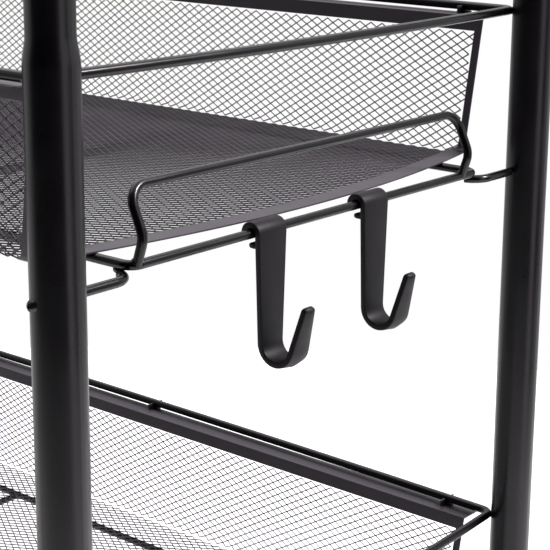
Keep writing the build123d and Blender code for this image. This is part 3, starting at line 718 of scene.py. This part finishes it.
# Nylon from a lightly sparked mould: matt, with a grain of about 0.3 mm.
moulded_nylon = new_material(
    "black nylon, moulded",
    "#070408",
    (0.46, 0.56),
    specular=0.24,
    peel=(0.3 * MM, 0.01 * MM),
    cloud=12 * MM,
)
nib_drop, nib_half, nib_tip_width, nib_spread = 6.8 * MM, 1.5 * MM, 14 * MM, 3 * MM
nib_runs = ((0, 1), (3, 1), (5.5, 1), (7.0, 0.9), (7.8, 0.6), (8.1, 0.25))  # mm out, share of full size
for name, y in hook_y.items():
    rail = Vector((loop_x, y, rim_height["top"] - loop_drop))
    hook = loft(f"moulded_hook_{name}", hook_line(), rail)
    nib_stations = []
    for run, share in nib_runs:
        width = nib_tip_width + nib_spread * share
        nib_stations.append((hook_curl - run * MM, -nib_drop, math.pi, width, nib_half * share, 0))
    nib = loft(f"hook_nib_{name}", nib_stations, rail)
    for part in (hook, nib):
        part.data.materials.append(moulded_nylon)
        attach(part, f"hook_{name}")
        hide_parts(f"hook_{name}")


# ---- Casters --------------------------------------------------------------------------------------
# A plug in each post's foot grips a riveted stem. Fork and wheel body are moulded nylon, the tyre
# is grey rubber moulded round the wheel, the axle is a plated rivet, and two have a brake pedal.
fork_nylon = new_material(
    "black nylon, spark textured",
    "#1a181b",
    (0.5, 0.62),
    specular=0.45,
    peel=(0.6 * MM, 0.03 * MM),
    cloud=15 * MM,
)
# The tread is dull and slightly dusty.
tread_rubber = new_material(
    "grey rubber, moulded",
    "#4a494c",
    (0.64, 0.8),
    specular=0.35,
    peel=(1.2 * MM, 0.04 * MM),
    cloud=1.2 * MM,
    detail=4.0,
)
pedal_nylon = new_material(
    "grey nylon, moulded", "#77777c", 0.5, specular=0.45, peel=(0.5 * MM, 0.02 * MM)
)
for corner in corners:
    dress(fork_nylon, f"caster_socket_{corner}", f"caster_fork_{corner}", f"wheel_core_{corner}")
    dress(zinc_plate, f"caster_stem_{corner}", f"caster_axle_{corner}")
    dress(tread_rubber, f"tyre_{corner}")
dress(pedal_nylon, "brake_lever_right_front", "brake_lever_right_back")


# ---- Studio ---------------------------------------------------------------------------------------
# White floor and white surround, a wide soft light overhead, a small key light high at the back
# right that casts the rails' shadows on the trays, and a tall light low to the right.
eye = Vector((0.8427, -0.6558, 0.9609))
heading, pitch, roll = math.radians(130.33), math.radians(-14.58), math.radians(0.38)
ahead = Vector((math.cos(heading) * math.cos(pitch), math.sin(heading) * math.cos(pitch), math.sin(pitch)))
level = ahead.cross(Vector((0, 0, 1))).normalized()
upright = level.cross(ahead)
right = level * math.cos(roll) + upright * math.sin(roll)
up = upright * math.cos(roll) - level * math.sin(roll)
camera = bpy.data.objects.new("camera", bpy.data.cameras.new("camera"))
camera.data.sensor_width = 36
camera.data.lens = 105.99
camera.data.shift_y = -0.05
camera.matrix_world = Matrix.Translation(eye) @ Matrix((right, up, -ahead)).transposed().to_4x4()
bpy.context.scene.collection.objects.link(camera)
bpy.context.scene.camera = camera

floor_radius, floor_sides = 1.9, 96
rim = []
for side in range(floor_sides):
    angle = 2 * math.pi * side / floor_sides
    rim.append((floor_radius * math.cos(angle), floor_radius * math.sin(angle), 0))
floor_mesh = bpy.data.meshes.new("floor")
floor_mesh.from_pydata(rim, [], [tuple(range(floor_sides))])
floor_mesh.materials.append(new_material("matt white floor paint", "#f4f3f4", 0.9, specular=0.1, glow=0.45))
piece_from("floor", floor_mesh)


def soft_light(name, place, target, width, height, power, tint):
    """A rectangular soft box turned to a target."""
    lamp = bpy.data.lights.new(name, "AREA")
    lamp.color = tint
    lamp.shape = "RECTANGLE"
    lamp.size, lamp.size_y, lamp.energy = width, height, power
    light = bpy.data.objects.new(name, lamp)
    light.location = place
    light.rotation_mode = "QUATERNION"
    light.rotation_quaternion = (Vector(place) - Vector(target)).to_track_quat("Z", "Y")
    bpy.context.scene.collection.objects.link(light)


chest = (0.0, 0.0, 0.6)
soft_light("overhead", (-0.3, 0.5, 2.6), chest, 3.0, 3.0, 50, (1.0, 0.965, 1.0))
soft_light("key", (1.7, 1.02, 2.37), (0.0, 0.0, 0.85), 0.28, 0.28, 80, (1.0, 0.955, 1.0))
soft_light("tall right", (2.3, 0.2, 0.9), chest, 0.9, 2.2, 9, (1.0, 0.93, 1.0))

# The surround is white behind the cart and falls off to dark behind the camera.
world = bpy.data.worlds.new("studio")
bpy.context.scene.world = world
world.use_nodes = True
tree = world.node_tree
tree.nodes.clear()
way = add(tree, "ShaderNodeTexCoord").outputs["Generated"]
to_camera = Vector((-ahead.x, -ahead.y, 0)).normalized()
facing = add(tree, "ShaderNodeVectorMath", {0: way, 1: to_camera}, operation="DOT_PRODUCT")
shade = add(
    tree,
    "ShaderNodeMapRange",
    {"Value": facing.outputs["Value"], "From Min": -0.2, "From Max": 0.3, "To Min": 0.8, "To Max": 0.01},
    interpolation_type="SMOOTHSTEP",
)
white = (1, 1, 1, 1)
seen = add(tree, "ShaderNodeBackground", {"Color": white, "Strength": 1.0})
lit = add(tree, "ShaderNodeBackground", {"Color": white, "Strength": shade.outputs["Result"]})
seen_share = add(tree, "ShaderNodeLightPath").outputs["Is Camera Ray"]
blend = add(tree, "ShaderNodeMixShader", {0: seen_share, 1: lit.outputs[0], 2: seen.outputs[0]})
add(tree, "ShaderNodeOutputWorld", {"Surface": blend.outputs[0]})
bpy.context.scene.view_settings.view_transform = "Standard"
